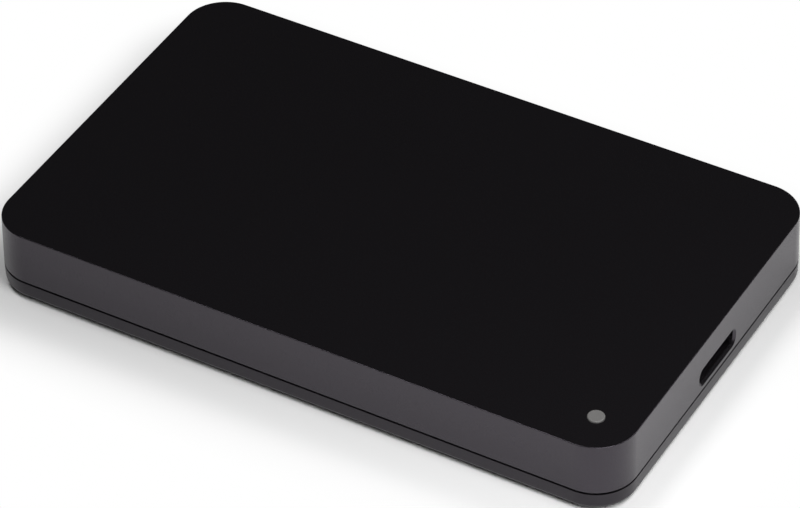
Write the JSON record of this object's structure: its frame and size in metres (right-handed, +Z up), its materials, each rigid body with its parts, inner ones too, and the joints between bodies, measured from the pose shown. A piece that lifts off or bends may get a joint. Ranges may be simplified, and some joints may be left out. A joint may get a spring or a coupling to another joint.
{
  "type": "portable external hard drive",
  "caption": "Flat black portable hard drive in a two-shell moulded case with rounded corners, a data port in one short side, a lamp in the lid and a disc mechanism inside.",
  "frame": {"origin": "middle of the footprint, on the plane that the feet rest on", "axes": "+X along the length towards the data port, +Z up through the lid, +Y across"},
  "size_m": [0.13, 0.0792, 0.0154],
  "materials": {
    "case_plastic": "satin black moulded plastic with a fine grain",
    "lamp_plastic": "milky translucent plastic",
    "foot_rubber": "matt black rubber",
    "buffer_rubber": "soft dark grey rubber",
    "board": "green laminate with solder mask",
    "port_steel": "folded tinned steel",
    "port_insulator": "black moulded insulator",
    "contact_gold": "gold-plated contact",
    "connector_plastic": "black moulded connector",
    "chip_plastic": "matt black chip moulding",
    "crystal_can": "plain metal can",
    "ferrite": "dark grey ferrite",
    "chip_ceramic": "tan ceramic",
    "resistor_ceramic": "black-faced ceramic",
    "lamp_chip": "white lamp chip",
    "cast_aluminium": "die-cast aluminium with a black wash",
    "cover_steel": "pressed stainless sheet",
    "seal_rubber": "black seal",
    "screw_steel": "plated screw",
    "platter_mirror": "polished recording disc",
    "turned_steel": "turned stainless steel",
    "machined_aluminium": "machined aluminium",
    "plated_magnet": "nickel-plated magnet",
    "yoke_steel": "nickel-plated steel plate",
    "stator_steel": "laminated steel",
    "copper_wire": "enamelled copper winding",
    "arm_plastic": "dark moulded frame",
    "spring_steel": "thin spring steel",
    "slider_ceramic": "dark slider ceramic",
    "ramp_plastic": "ivory bearing plastic",
    "flex_film": "amber film",
    "filter_cloth": "white filter cloth"
  },
  "bodies": {
    "case": {"top_cover": "case_plastic", "bottom_cover": "case_plastic", "light_guide": "lamp_plastic", "rubber_feet": "foot_rubber", "corner_buffers": "buffer_rubber", "bridge_board": "board", "port_shell": "port_steel", "port_tongue": "port_insulator", "port_contacts": "contact_gold", "board_socket": "connector_plastic", "board_socket_contacts": "contact_gold", "bridge_chip": "chip_plastic", "firmware_chip": "chip_plastic", "board_crystal": "crystal_can", "board_inductor": "ferrite", "board_capacitors": "chip_ceramic", "board_resistors": "resistor_ceramic", "activity_lamp": "lamp_chip", "drive_base": "cast_aluminium", "drive_cover": "cover_steel", "cover_gasket": "seal_rubber", "cover_screws": "screw_steel", "drive_board": "board", "drive_board_screws": "screw_steel", "drive_plug": "connector_plastic", "drive_plug_contacts": "contact_gold", "motor_chip": "chip_plastic", "controller_chip": "chip_plastic", "memory_chip": "chip_plastic", "bearing_sleeve": "turned_steel", "motor_stator": "stator_steel", "motor_coils": "copper_wire", "pivot_shaft": "turned_steel", "pivot_bearings": "turned_steel", "lower_yoke": "yoke_steel", "lower_magnet": "plated_magnet", "upper_magnet": "plated_magnet", "upper_yoke": "yoke_steel", "yoke_posts": "turned_steel", "yoke_screws": "screw_steel", "crash_stops": "buffer_rubber", "load_ramp": "ramp_plastic", "ramp_screw": "screw_steel", "flex_bracket": "arm_plastic", "flex_cable": "flex_film", "air_filter": "filter_cloth"},
    "spindle": {"spindle_hub": "turned_steel", "motor_magnet": "plated_magnet", "lower_platter": "platter_mirror", "upper_platter": "platter_mirror", "platter_spacer": "machined_aluminium", "disc_clamp": "cover_steel", "clamp_screw": "screw_steel"},
    "head_arm": {"pivot_sleeve": "turned_steel", "arm_block": "machined_aluminium", "head_beams": "spring_steel", "head_sliders": "slider_ceramic", "voice_coil": "copper_wire", "coil_frame": "arm_plastic"}
  },
  "joints": [
    {"name": "spindle_spin", "type": "hinge", "parent": "case", "child": "spindle", "pos_m": [-0.0267, 0, 0.008], "axis": [0, 0, 1], "continuous": true},
    {"name": "head_swing", "type": "hinge", "parent": "case", "child": "head_arm", "pos_m": [0.0118, 0.011, 0.008], "axis": [0, 0, -1], "range_deg": [0, 35], "deforming": ["flex_cable"]}
  ]
}
